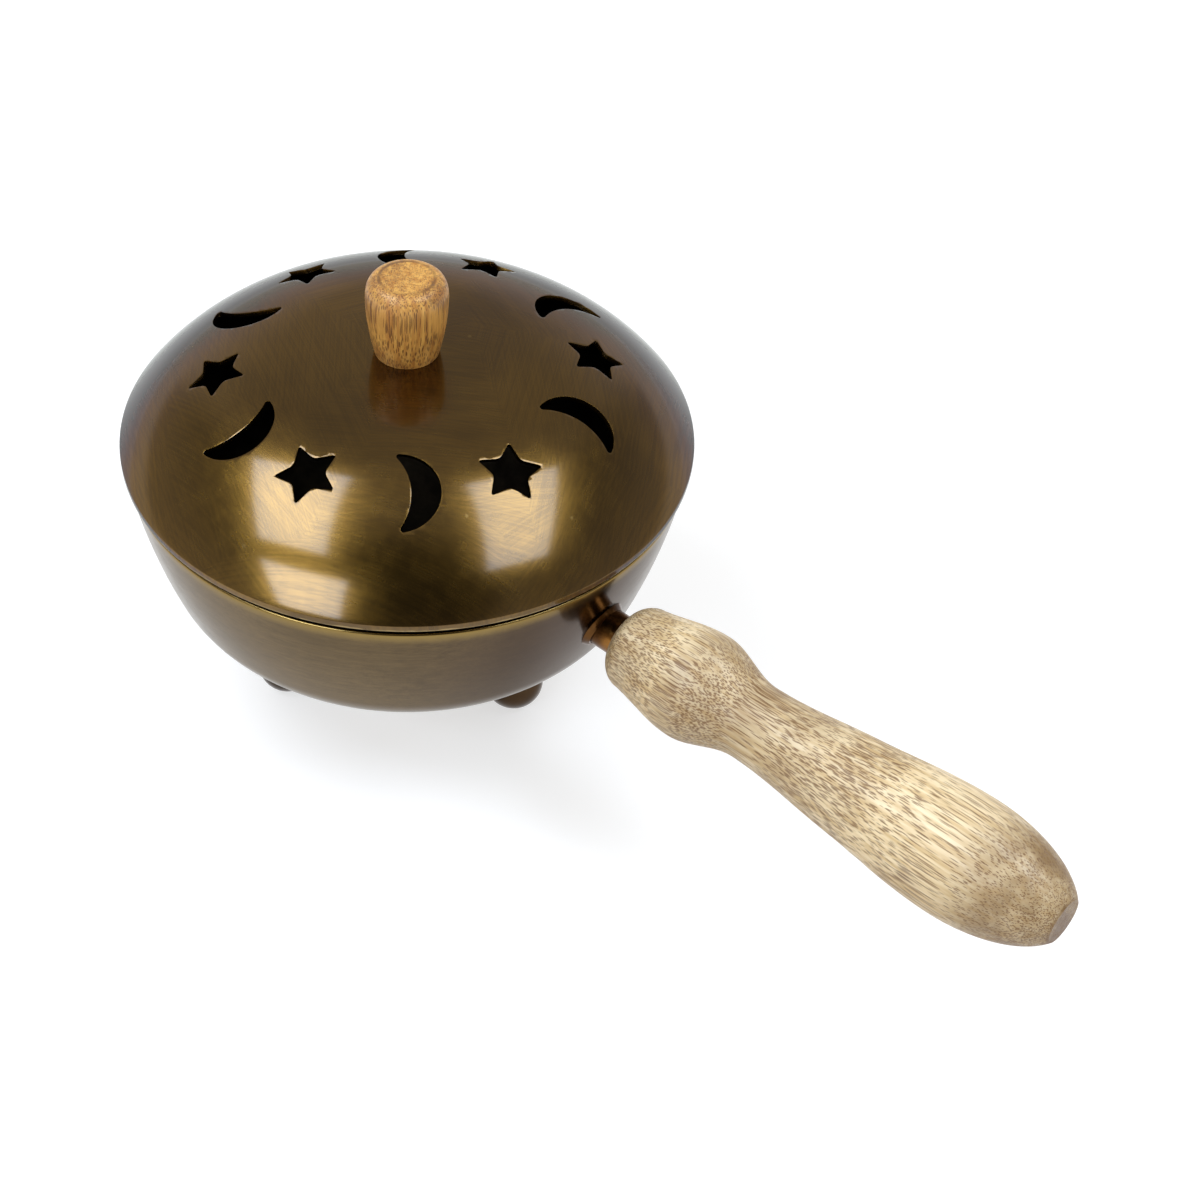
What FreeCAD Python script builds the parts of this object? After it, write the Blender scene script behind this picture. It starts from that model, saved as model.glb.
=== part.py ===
import FreeCAD, Part
import math
import os

# Hand-held incense burner: a pierced brass lid on a footed brass bowl, with a turned wooden
# handle and a turned wooden lid knob. Millimetres, +Z up. Everything is drawn about the pot's
# own upright axis with the floor at Z = 0 and the handle along +X, and is shifted at the end
# so that the origin lies on the floor under the middle of the whole length.

# Lid, spun from brass sheet
LID_RADIUS = 60.0
LID_SHEET = 1.0
LID_HEIGHT = 21.75            # lower edge to the top of the crown, outside
LID_SKIRT = 1.4               # short upright edge below the dome
CROWN_RADIUS = 360.0          # nearly flat middle, where the knob sits
CROWN_REACH = 23.5            # radius at which the flat middle turns into the shoulder

# Seat ring, soldered inside the lid: it lies on the bowl's lip and keeps the lid centred
LIP_GAP = 1.7                 # upright gap between the lid's edge and the bowl's lip
SEAT_PLAY = 0.3               # play between the seat ring and the lip below it
SEAT_SETBACK = 1.5            # from the lid's outer edge in to the ring's outer face
COLLAR_SHEET = 0.8
COLLAR_DEPTH = 6.0            # how far the collar dips into the bowl
COLLAR_PLAY = 0.5             # between the collar and the bowl's inside wall

# Smoke holes: stars and crescents in turn on one ring, cut square to the sheet
HOLE_PAIRS = 6
HOLE_RING_RADIUS = 38.9
FIRST_CRESCENT_DEG = -41.9    # from the handle, anticlockwise seen from above
CRESCENT_STRAYS_DEG = (-0.5, 1.0, -1.5, -1.0, 0.5, 0.5)
STAR_STRAYS_DEG = (-2.5, 0.5, 0.5, 0.0, 0.0, -3.5)
STAR_POINTS = 5
STAR_RADIUS = 6.9
STAR_NOTCH_RADIUS = 3.5
STAR_TWIST_DEG = 7.5
STAR_CORNER_RADIUS = 0.4
CRESCENT_LENGTH = 17.0
CRESCENT_BACK = 9.0           # height of the outer bow over the line between the tips
CRESCENT_WIDTH = 5.9          # at the middle, between the two bows
CRESCENT_TIP_RADIUS = 0.6
PUNCH_REACH = 6.0             # how far a punch passes the sheet on each side

# Lid knob of turned wood, held by one screw from inside the lid
KNOB_HEIGHT = 17.8
KNOB_BASE_RADIUS = 6.6
KNOB_BELLY_RADIUS = 8.4
KNOB_BELLY_HEIGHT = 13.4
KNOB_TOP_RADIUS = 5.0
KNOB_FLARE = 0.25             # outward slope of the knob's side at its base
SCREW_RADIUS = 1.6
SCREW_BITE = 11.0             # length of the screw inside the wood
SCREW_PLAY = 0.2              # round the screw's shank, in every hole it passes
SCREW_HEAD_RADIUS = 3.0
SCREW_HEAD_HEIGHT = 1.9
SCREW_SLOT_WIDTH = 0.8
SCREW_SLOT_DEPTH = 0.9
WASHER_RADIUS = 4.8
WASHER_SHEET = 0.8
STACK_PLAY = 0.02             # between washer, sheet and screw head

# Bowl, spun from brass sheet: a flared wall, a rounded corner, a belly and a flat base
LIP_HEIGHT = 60.9             # top of the lip above the floor
LIP_INSET = 1.0               # the lip lies this far inside the lid's edge
BOWL_SHEET = 1.2
WALL_FLARE_DEG = 9.0          # lean of the wall at the lip, from upright
WALL_BOW_RADIUS = 147.0
WALL_BOW_DEG = 10.3           # how far the wall turns before the corner
CORNER_RADIUS = 15.0
CORNER_DEG = 25.7             # how far the corner turns before the belly
BELLY_RADIUS = 48.0

# Feet: three brass balls on short stout necks, brazed under the bowl
FOOT_COUNT = 3
FOOT_RING_RADIUS = 29.2
FOOT_TURN_DEG = 8.5           # first foot, from the handle, anticlockwise seen from above
FOOT_BALL_RADIUS = 6.5
FOOT_FLAT_RADIUS = 2.4
FOOT_NECK_RADIUS = 5.2
BRAZE_PLAY = 0.05             # solder film between brazed pieces

# Handle: a brass tube brazed to the bowl, carrying a turned wooden grip
HANDLE_HEIGHT = 44.2
TUBE_RADIUS = 4.4
TUBE_SHEET = 1.0
TUBE_BITE = 32.0              # length of the tube inside the grip
TUBE_PLAY = 0.1               # glue film round the tube
BEAD_FOOT_RADIUS = 5.5        # braze bead where it lies on the bowl's wall
BEAD_TOP_RADIUS = 4.8
BEAD_HEIGHT = 1.0
TUBE_SHOWN = 6.1              # bare tube between the bowl's wall and the grip
GRIP_NOSE_RADIUS = 9.1
GRIP_NOSE_ROUND = 4.6
GRIP_BULGE_AT = 18.9          # stations along the grip, from its front face
GRIP_BULGE_RADIUS = 11.5
GRIP_NECK_AT = 33.1
GRIP_NECK_RADIUS = 7.95
GRIP_FLANK_AT = 55.3
GRIP_FLANK_RADIUS = 10.0
GRIP_SWELL_AT = 80.6
GRIP_SWELL_RADIUS = 12.25
GRIP_END_REACH = 23.9         # half axis of the oval that rounds the grip's end
GRIP_FACET_RADIUS = 4.6       # small flat on the end

ORIGIN = FreeCAD.Vector(0, 0, 0)
UP = FreeCAD.Vector(0, 0, 1)
ALONG = FreeCAD.Vector(1, 0, 0)
ACROSS = FreeCAD.Vector(0, 1, 0)
FULL_TURN = 360.0
TINY = 1e-6


def polar(centre, radius, degrees):
    """Point at an angle on a circle in the XZ plane; centre is (r, z)."""
    angle = math.radians(degrees)
    return (centre[0] + radius * math.cos(angle), centre[1] + radius * math.sin(angle))


def at(pair):
    """Vector of an (r, z) pair in the XZ plane."""
    return FreeCAD.Vector(pair[0], 0, pair[1])


def line(start, end):
    """Straight edge between two (r, z) pairs."""
    return Part.LineSegment(at(start), at(end)).toShape()


def arc(centre, radius, start_deg, end_deg):
    """Circular edge in the XZ plane, from one angle to another."""
    middle = polar(centre, radius, (start_deg + end_deg) / 2)
    start = polar(centre, radius, start_deg)
    end = polar(centre, radius, end_deg)
    return Part.Arc(at(start), at(middle), at(end)).toShape()


def turned(edges, axis=UP):
    """Solid of revolution of a closed outline in the XZ plane."""
    wire = Part.Wire(Part.__sortEdges__(edges))
    return Part.Face(wire).revolve(ORIGIN, axis, FULL_TURN)


def cylinder(radius, height, base, direction=UP):
    """Cylinder standing on a base point."""
    return Part.makeCylinder(radius, height, base, direction)


# Sizes that follow from the driving sizes
LID_EDGE = LIP_HEIGHT + LIP_GAP
CROWN_TOP = LID_EDGE + LID_HEIGHT
LIP_RADIUS = LID_RADIUS - LIP_INSET


class Dome:
    """Lid profile: a flat crown arc, and a shoulder arc tangent to it that ends on the skirt."""

    def __init__(self):
        self.crown_centre = (0.0, CROWN_TOP - CROWN_RADIUS)
        self.turn_deg = math.degrees(math.acos(CROWN_REACH / CROWN_RADIUS))
        turn = polar(self.crown_centre, CROWN_RADIUS, self.turn_deg)
        skirt_top = (LID_RADIUS, LID_EDGE + LID_SKIRT)
        run = (skirt_top[0] - turn[0], skirt_top[1] - turn[1])
        out = polar((0.0, 0.0), 1.0, self.turn_deg)
        lean = run[0] * out[0] + run[1] * out[1]
        self.shoulder_radius = -(run[0] ** 2 + run[1] ** 2) / (2 * lean)
        self.shoulder_centre = polar(turn, -self.shoulder_radius, self.turn_deg)

    def edge_deg(self, depth, radius):
        """Angle on the shoulder arc, at a depth under the surface, of a given radius."""
        return math.degrees(math.acos((radius - self.shoulder_centre[0]) / (self.shoulder_radius - depth)))

    def height(self, depth, radius):
        """Height of the surface that lies a depth under the outside, at a radius."""
        centre, reach = self.shoulder_centre, self.shoulder_radius
        if radius < CROWN_REACH:
            centre, reach = self.crown_centre, CROWN_RADIUS
        return centre[1] + math.sqrt((reach - depth) ** 2 - (radius - centre[0]) ** 2)

    def curve(self, depth, rim_radius):
        """Edges from the axis out to a rim radius, a depth under the outside."""
        end_deg = self.edge_deg(depth, rim_radius)
        crown = arc(self.crown_centre, CROWN_RADIUS - depth, 90.0, self.turn_deg)
        shoulder = arc(self.shoulder_centre, self.shoulder_radius - depth, self.turn_deg, end_deg)
        return [crown, shoulder]


DOME = Dome()


def star_outline():
    """Five-pointed star in the XY plane, one point near +X."""
    corners = []
    for index in range(2 * STAR_POINTS):
        radius = STAR_RADIUS if index % 2 == 0 else STAR_NOTCH_RADIUS
        angle = math.radians(STAR_TWIST_DEG + index * FULL_TURN / (2 * STAR_POINTS))
        corners.append(FreeCAD.Vector(radius * math.cos(angle), radius * math.sin(angle), 0))
    return Part.makePolygon(corners + corners[:1])


def crescent_outline():
    """Crescent in the XY plane, tips along X and its back towards +Y."""
    half = CRESCENT_LENGTH / 2
    left = FreeCAD.Vector(-half, 0, 0)
    right = FreeCAD.Vector(half, 0, 0)
    back = Part.Arc(left, FreeCAD.Vector(0, CRESCENT_BACK, 0), right).toShape()
    hollow = Part.Arc(right, FreeCAD.Vector(0, CRESCENT_BACK - CRESCENT_WIDTH, 0), left).toShape()
    return Part.Wire([back, hollow])


def punch(outline):
    """Prism of an outline, reaching well through the sheet on both sides of the XY plane."""
    prism = Part.Face(outline).extrude(UP * (2 * PUNCH_REACH))
    prism.translate(UP * -PUNCH_REACH)
    return prism


def rounded(prism, radius):
    """A punch with its upright edges rounded."""
    corners = [edge for edge in prism.Edges if edge.BoundBox.ZLength > PUNCH_REACH]
    return prism.makeFillet(radius, corners).Solids[0]


def star_punch():
    """Star prism with rounded corners."""
    return rounded(punch(star_outline()), STAR_CORNER_RADIUS)


def crescent_punch():
    """Crescent prism with rounded tips, centred on its own middle."""
    prism = rounded(punch(crescent_outline()), CRESCENT_TIP_RADIUS)
    prism.translate(ACROSS * -prism.CenterOfMass.y)
    return prism


def placed_punch(shape, degrees):
    """A punch set square to the dome on the hole ring, at an angle from the handle."""
    normal_deg = DOME.edge_deg(0.0, HOLE_RING_RADIUS)
    copy = shape.copy()
    copy.rotate(ORIGIN, ACROSS, 90.0 - normal_deg)
    copy.translate(FreeCAD.Vector(HOLE_RING_RADIUS, 0, DOME.height(0.0, HOLE_RING_RADIUS)))
    copy.rotate(ORIGIN, UP, degrees)
    return copy


def lid_dome():
    """Spun dome with a short upright edge, pierced by the smoke holes and the screw hole."""
    inside_radius = LID_RADIUS - LID_SHEET
    inside_top = (inside_radius, DOME.height(LID_SHEET, inside_radius))
    outline = DOME.curve(0.0, LID_RADIUS) + DOME.curve(LID_SHEET, inside_radius)
    outline.append(line((LID_RADIUS, LID_EDGE + LID_SKIRT), (LID_RADIUS, LID_EDGE)))
    outline.append(line((LID_RADIUS, LID_EDGE), (inside_radius, LID_EDGE)))
    outline.append(line((inside_radius, LID_EDGE), inside_top))
    outline.append(line((0.0, CROWN_TOP - LID_SHEET), (0.0, CROWN_TOP)))
    dome = turned(outline)
    star = star_punch()
    crescent = crescent_punch()
    pitch = FULL_TURN / HOLE_PAIRS
    punches = [cylinder(SCREW_RADIUS + SCREW_PLAY, LID_HEIGHT, at((0.0, LID_EDGE + LID_HEIGHT / 2)))]
    for index in range(HOLE_PAIRS):
        angle = FIRST_CRESCENT_DEG + index * pitch
        crescent_stray = CRESCENT_STRAYS_DEG[index % len(CRESCENT_STRAYS_DEG)]
        star_stray = STAR_STRAYS_DEG[index % len(STAR_STRAYS_DEG)]
        punches.append(placed_punch(crescent, angle + crescent_stray))
        punches.append(placed_punch(star, angle + pitch / 2 + star_stray))
    return dome.cut(punches)


class BowlWall:
    """Bowl profile as three tangent arcs and a flat base, for any offset into the sheet."""

    def __init__(self):
        self.starts_deg = (
            WALL_FLARE_DEG,
            WALL_FLARE_DEG + WALL_BOW_DEG,
            WALL_FLARE_DEG + WALL_BOW_DEG + CORNER_DEG,
            90.0,
        )
        self.radii = (WALL_BOW_RADIUS, CORNER_RADIUS, BELLY_RADIUS)
        lip_middle = (LIP_RADIUS - BOWL_SHEET / 2, LIP_HEIGHT - BOWL_SHEET / 2)
        self.lip = polar(lip_middle, BOWL_SHEET / 2, -WALL_FLARE_DEG)
        self.lip_middle = lip_middle
        self.centres = []
        point = self.lip
        for radius, start, end in zip(self.radii, self.starts_deg, self.starts_deg[1:]):
            centre = polar(point, -radius, -start)
            self.centres.append(centre)
            point = polar(centre, radius, -end)
        self.base = point

    def curve(self, depth):
        """Arcs from the lip down to the flat base, a depth in from the outside."""
        edges = []
        for centre, radius, start, end in zip(
            self.centres, self.radii, self.starts_deg, self.starts_deg[1:]
        ):
            edges.append(arc(centre, radius - depth, -start, -end))
        return edges

    def wall_radius(self, depth, height):
        """Radius of the flared wall at a height, a depth in from the outside."""
        centre = self.centres[0]
        return centre[0] + math.sqrt((WALL_BOW_RADIUS - depth) ** 2 - (height - centre[1]) ** 2)

    def wall_lean_deg(self, height):
        """Lean of the flared wall from upright, at a height."""
        return math.degrees(math.asin((self.centres[0][1] - height) / WALL_BOW_RADIUS))

    def blank(self, growth):
        """Solid body of the bowl's outside, grown outwards, to cope pieces that meet the bowl."""
        edges = self.curve(-growth)
        rim = polar(self.lip, growth, -WALL_FLARE_DEG)
        top = (rim[0], LIP_HEIGHT)
        base_height = self.base[1] - growth
        edges.append(line(rim, top))
        edges.append(line(top, (0.0, LIP_HEIGHT)))
        edges.append(line((0.0, LIP_HEIGHT), (0.0, base_height)))
        edges.append(line((0.0, base_height), (self.base[0], base_height)))
        return turned(edges)


WALL = BowlWall()


def bowl():
    """Spun bowl with a round lip and a flat base."""
    outside = WALL.curve(0.0)
    inside = WALL.curve(BOWL_SHEET)
    lip = arc(WALL.lip_middle, BOWL_SHEET / 2, -WALL_FLARE_DEG, 180.0 - WALL_FLARE_DEG)
    floor_outside = (0.0, WALL.base[1])
    floor_inside = (0.0, WALL.base[1] + BOWL_SHEET)
    outline = outside + inside + [
        lip,
        line(WALL.base, floor_outside),
        line(floor_outside, floor_inside),
        line(floor_inside, (WALL.base[0], WALL.base[1] + BOWL_SHEET)),
    ]
    return turned(outline)


def lid_seat_ring():
    """Stepped ring under the lid: a flange over the bowl's lip and a collar inside the bowl."""
    flange_bottom = LIP_HEIGHT + SEAT_PLAY
    flange_radius = LID_RADIUS - SEAT_SETBACK
    collar_bottom = LIP_HEIGHT - COLLAR_DEPTH
    collar_radius = WALL.wall_radius(BOWL_SHEET, collar_bottom) - COLLAR_PLAY
    collar_inside = collar_radius - COLLAR_SHEET
    depth = LID_SHEET + BRAZE_PLAY
    outer_top = (flange_radius, DOME.height(depth, flange_radius))
    inner_top = (collar_inside, DOME.height(depth, collar_inside))
    start_deg = DOME.edge_deg(depth, collar_inside)
    end_deg = DOME.edge_deg(depth, flange_radius)
    outline = [
        arc(DOME.shoulder_centre, DOME.shoulder_radius - depth, start_deg, end_deg),
        line(outer_top, (flange_radius, flange_bottom)),
        line((flange_radius, flange_bottom), (collar_radius, flange_bottom)),
        line((collar_radius, flange_bottom), (collar_radius, collar_bottom)),
        line((collar_radius, collar_bottom), (collar_inside, collar_bottom)),
        line((collar_inside, collar_bottom), inner_top),
    ]
    return turned(outline)


def lid_knob():
    """Turned wooden knob, wider towards its top, with a blind hole for the screw."""
    base = (KNOB_BASE_RADIUS, CROWN_TOP)
    belly = (KNOB_BELLY_RADIUS, CROWN_TOP + KNOB_BELLY_HEIGHT)
    top = (KNOB_TOP_RADIUS, CROWN_TOP + KNOB_HEIGHT)
    side = Part.BSplineCurve()
    side.interpolate([at(base), at(belly)], InitialTangent=at((KNOB_FLARE, 1.0)), FinalTangent=UP)
    crown = Part.BSplineCurve()
    crown.interpolate([at(belly), at(top)], InitialTangent=UP, FinalTangent=-ALONG)
    outline = [
        side.toShape(),
        crown.toShape(),
        line(top, (0.0, top[1])),
        line((0.0, top[1]), (0.0, CROWN_TOP)),
        line((0.0, CROWN_TOP), base),
    ]
    hole = cylinder(SCREW_RADIUS + SCREW_PLAY, SCREW_BITE + SCREW_PLAY, at((0.0, CROWN_TOP)))
    return turned(outline).cut(hole)


def washer_top():
    """Height of the washer's upper face, where its rim meets the dome's inside."""
    return DOME.height(LID_SHEET, WASHER_RADIUS) - STACK_PLAY


def lid_knob_washer():
    """Flat washer under the crown."""
    base = at((0.0, washer_top() - WASHER_SHEET))
    disc = cylinder(WASHER_RADIUS, WASHER_SHEET, base)
    return disc.cut(cylinder(SCREW_RADIUS + SCREW_PLAY, WASHER_SHEET, base))


def lid_knob_screw():
    """Slotted pan-head screw from inside the lid into the knob."""
    seat = washer_top() - WASHER_SHEET - STACK_PLAY
    head_bottom = seat - SCREW_HEAD_HEIGHT
    head = cylinder(SCREW_HEAD_RADIUS, SCREW_HEAD_HEIGHT, at((0.0, head_bottom)))
    rim = [edge for edge in head.Edges if abs(edge.BoundBox.ZMax - head_bottom) < TINY]
    head = head.makeFillet(SCREW_HEAD_HEIGHT / 3, rim).Solids[0]
    shank = cylinder(SCREW_RADIUS, CROWN_TOP + SCREW_BITE - seat, at((0.0, seat)))
    slot = Part.makeBox(
        2 * SCREW_HEAD_RADIUS,
        SCREW_SLOT_WIDTH,
        SCREW_SLOT_DEPTH,
        FreeCAD.Vector(-SCREW_HEAD_RADIUS, -SCREW_SLOT_WIDTH / 2, head_bottom),
    )
    return head.fuse(shank).cut(slot).removeSplitter()


def foot(index):
    """One ball foot on a stout neck, coped to the bowl's underside and flat where it stands."""
    ball_height = math.sqrt(FOOT_BALL_RADIUS ** 2 - FOOT_FLAT_RADIUS ** 2)
    flat_deg = -math.degrees(math.acos(FOOT_FLAT_RADIUS / FOOT_BALL_RADIUS))
    neck_deg = math.degrees(math.acos(FOOT_NECK_RADIUS / FOOT_BALL_RADIUS))
    neck_bottom = polar((0.0, ball_height), FOOT_BALL_RADIUS, neck_deg)
    neck_top = WALL.base[1] + BELLY_RADIUS / 2
    outline = [
        arc((0.0, ball_height), FOOT_BALL_RADIUS, flat_deg, neck_deg),
        line(neck_bottom, (FOOT_NECK_RADIUS, neck_top)),
        line((FOOT_NECK_RADIUS, neck_top), (0.0, neck_top)),
        line((0.0, neck_top), (0.0, 0.0)),
        line((0.0, 0.0), (FOOT_FLAT_RADIUS, 0.0)),
    ]
    shape = turned(outline)
    shape.translate(FreeCAD.Vector(FOOT_RING_RADIUS, 0, 0))
    shape.rotate(ORIGIN, UP, FOOT_TURN_DEG + index * FULL_TURN / FOOT_COUNT)
    return shape.cut(WALL.blank(BRAZE_PLAY))


def handle_root():
    """Point where the handle's axis meets the bowl's outside."""
    return FreeCAD.Vector(WALL.wall_radius(0.0, HANDLE_HEIGHT), 0, HANDLE_HEIGHT)


def grip_start():
    """Front face of the grip, from the pot's axis."""
    return handle_root().x + TUBE_SHOWN


def handle_tube():
    """Brass tube, coped to the bowl's wall, that carries the grip."""
    start = handle_root() - ALONG * (2 * TUBE_RADIUS)
    length = grip_start() + TUBE_BITE - start.x
    tube = cylinder(TUBE_RADIUS, length, start, ALONG)
    tube = tube.cut(cylinder(TUBE_RADIUS - TUBE_SHEET, length, start, ALONG))
    return tube.cut(WALL.blank(BRAZE_PLAY))


def handle_braze_bead():
    """Bead of braze round the foot of the tube, lying on the bowl's wall."""
    root = handle_root()
    lean = math.radians(WALL.wall_lean_deg(HANDLE_HEIGHT))
    normal = FreeCAD.Vector(math.cos(lean), 0, -math.sin(lean))
    start = root - normal * BEAD_HEIGHT
    start_radius = 2 * BEAD_FOOT_RADIUS - BEAD_TOP_RADIUS
    cone = Part.makeCone(start_radius, BEAD_TOP_RADIUS, 2 * BEAD_HEIGHT, start, normal)
    bore_start = root - ALONG * (2 * TUBE_RADIUS)
    bore = cylinder(TUBE_RADIUS + BRAZE_PLAY, 4 * TUBE_RADIUS, bore_start, ALONG)
    return cone.cut([WALL.blank(BRAZE_PLAY), bore])


def grip_length():
    """Length of the grip, from its front face to the flat on its end."""
    share = math.sqrt(1 - (GRIP_FACET_RADIUS / GRIP_SWELL_RADIUS) ** 2)
    return GRIP_SWELL_AT + GRIP_END_REACH * share


def handle_grip():
    """Turned wooden grip: nose, bulge, neck, long swell and a rounded end with a small flat."""
    stations = [
        (GRIP_NOSE_ROUND, GRIP_NOSE_RADIUS),
        (GRIP_BULGE_AT, GRIP_BULGE_RADIUS),
        (GRIP_NECK_AT, GRIP_NECK_RADIUS),
        (GRIP_FLANK_AT, GRIP_FLANK_RADIUS),
        (GRIP_SWELL_AT, GRIP_SWELL_RADIUS),
    ]
    rise = (GRIP_BULGE_RADIUS - GRIP_NOSE_RADIUS) / (GRIP_BULGE_AT - GRIP_NOSE_ROUND)
    climb = (GRIP_SWELL_RADIUS - GRIP_NECK_RADIUS) / (GRIP_SWELL_AT - GRIP_NECK_AT)
    tangents = [at((1.0, rise)), ALONG, ALONG, at((1.0, climb)), ALONG]
    side = Part.BSplineCurve()
    side.interpolate(
        Points=[at(station) for station in stations],
        Tangents=tangents,
        TangentFlags=[True] * len(tangents),
    )
    nose_centre = (GRIP_NOSE_ROUND, GRIP_NOSE_RADIUS - GRIP_NOSE_ROUND)
    oval = Part.Ellipse(
        FreeCAD.Vector(GRIP_SWELL_AT + GRIP_END_REACH, 0, 0),
        FreeCAD.Vector(GRIP_SWELL_AT, 0, GRIP_SWELL_RADIUS),
        FreeCAD.Vector(GRIP_SWELL_AT, 0, 0),
    )
    swell_end = at((GRIP_SWELL_AT, GRIP_SWELL_RADIUS))
    facet_rim = at((grip_length(), GRIP_FACET_RADIUS))
    ends = sorted((oval.parameter(swell_end), oval.parameter(facet_rim)))
    outline = [
        side.toShape(),
        oval.toShape(ends[0], ends[1]),
        line((grip_length(), GRIP_FACET_RADIUS), (grip_length(), 0.0)),
        line((grip_length(), 0.0), (0.0, 0.0)),
        line((0.0, 0.0), (0.0, nose_centre[1])),
        arc(nose_centre, GRIP_NOSE_ROUND, 180.0, 90.0),
    ]
    grip = turned(outline, ALONG)
    grip = grip.cut(cylinder(TUBE_RADIUS + TUBE_PLAY, TUBE_BITE + TUBE_PLAY, ORIGIN, ALONG))
    grip.translate(FreeCAD.Vector(grip_start(), 0, HANDLE_HEIGHT))
    return grip


def pieces():
    """Every piece of the burner by its node name, drawn about the pot's axis."""
    made = {
        "lid_dome": lid_dome(),
        "lid_seat_ring": lid_seat_ring(),
        "lid_knob": lid_knob(),
        "lid_knob_washer": lid_knob_washer(),
        "lid_knob_screw": lid_knob_screw(),
        "bowl": bowl(),
        "handle_tube": handle_tube(),
        "handle_braze_bead": handle_braze_bead(),
        "handle_grip": handle_grip(),
    }
    for index in range(FOOT_COUNT):
        made["foot_" + str(index + 1)] = foot(index)
    return made


def main():
    """Shift the pieces so that the origin is under the middle of the length, and write them."""
    os.makedirs("parts", exist_ok=True)
    middle = (grip_start() + grip_length() - LID_RADIUS) / 2
    for name, shape in pieces().items():
        shape.translate(ALONG * -middle)
        shape.exportStep("parts/" + name + ".step")
        print(name, len(shape.Solids), shape.isValid(), round(shape.Volume, 1), shape.BoundBox)


main()
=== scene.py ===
"""Looks of a hand-held incense burner: pierced brass lid, footed brass bowl, turned wooden handle."""
import logging
import math
from dataclasses import dataclass, field
from enum import Enum, IntEnum

import bmesh
import bpy
from mathutils import Matrix, Vector


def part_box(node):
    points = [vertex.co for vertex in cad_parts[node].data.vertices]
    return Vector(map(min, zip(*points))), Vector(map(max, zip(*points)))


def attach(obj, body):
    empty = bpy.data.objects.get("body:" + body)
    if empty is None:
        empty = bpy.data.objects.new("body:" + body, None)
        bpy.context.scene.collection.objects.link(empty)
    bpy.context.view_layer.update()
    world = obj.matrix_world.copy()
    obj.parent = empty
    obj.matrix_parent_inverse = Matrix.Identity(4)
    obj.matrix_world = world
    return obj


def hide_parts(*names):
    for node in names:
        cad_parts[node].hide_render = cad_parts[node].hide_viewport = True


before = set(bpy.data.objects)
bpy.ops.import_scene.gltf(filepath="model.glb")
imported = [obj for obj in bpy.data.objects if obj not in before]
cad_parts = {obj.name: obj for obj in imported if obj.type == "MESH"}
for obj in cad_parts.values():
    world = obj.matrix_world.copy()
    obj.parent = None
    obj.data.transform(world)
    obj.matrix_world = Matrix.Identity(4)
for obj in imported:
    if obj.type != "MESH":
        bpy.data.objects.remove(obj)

LOG = logging.getLogger("incense_burner")
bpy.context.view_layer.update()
MM = 0.001
UP = Vector((0.0, 0.0, 1.0))
ACROSS = Vector((0.0, 1.0, 0.0))
CREASE = math.radians(28.0)
WELD = 0.001 * MM
SORT_WAY = Vector((1.0, 1.618, 2.236))
NUMBER_RESULTS = ("LENGTH", "DISTANCE", "DOT_PRODUCT")
Colour = tuple[float, float, float]
Pair = tuple[float, float]


def node_middle(node: str) -> Vector:
    """Middle of a CAD node's box, to a tenth of a micrometre."""
    low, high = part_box(node)
    return Vector([round((first + last) / 2.0 / MM, 4) * MM for first, last in zip(low, high)])


POT_AXIS = Vector((node_middle("lid_dome").x, 0.0, 0.0))
HANDLE_HEIGHT = node_middle("handle_tube").z
# Where the tube meets the bowl, from the pot's axis
HANDLE_ROOT = Vector((55.53 * MM, 0.0, HANDLE_HEIGHT))


class Body(Enum):
    """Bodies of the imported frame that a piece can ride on."""

    BASE = "base"
    LID = "lid"


class LidFace(IntEnum):
    """Places of the pierced dome's finishes in its list of materials."""

    SPUN = 0
    # Bare cut brass on the hole walls and rounded hole edges, brighter to paint their highlights.
    CUT_AND_HIGHLIGHT = 1
    SMOKED = 2


class BowlFace(IntEnum):
    """Places of the bowl's finishes in its list of materials."""

    SPUN = 0
    SMOKED = 1


class Slot(Enum):
    """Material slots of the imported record."""

    LID_BRASS = "lid_brass"
    BOWL_BRASS = "bowl_brass"
    TUBE_BRASS = "tube_brass"
    BRAZE = "braze"
    FOOT_BRASS = "foot_brass"
    KNOB_WOOD = "knob_wood"
    GRIP_WOOD = "grip_wood"
    FASTENER_STEEL = "fastener_steel"


def rgba(colour: Colour) -> tuple[float, float, float, float]:
    """Colour with a full alpha."""
    return (*colour, 1.0)


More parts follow.
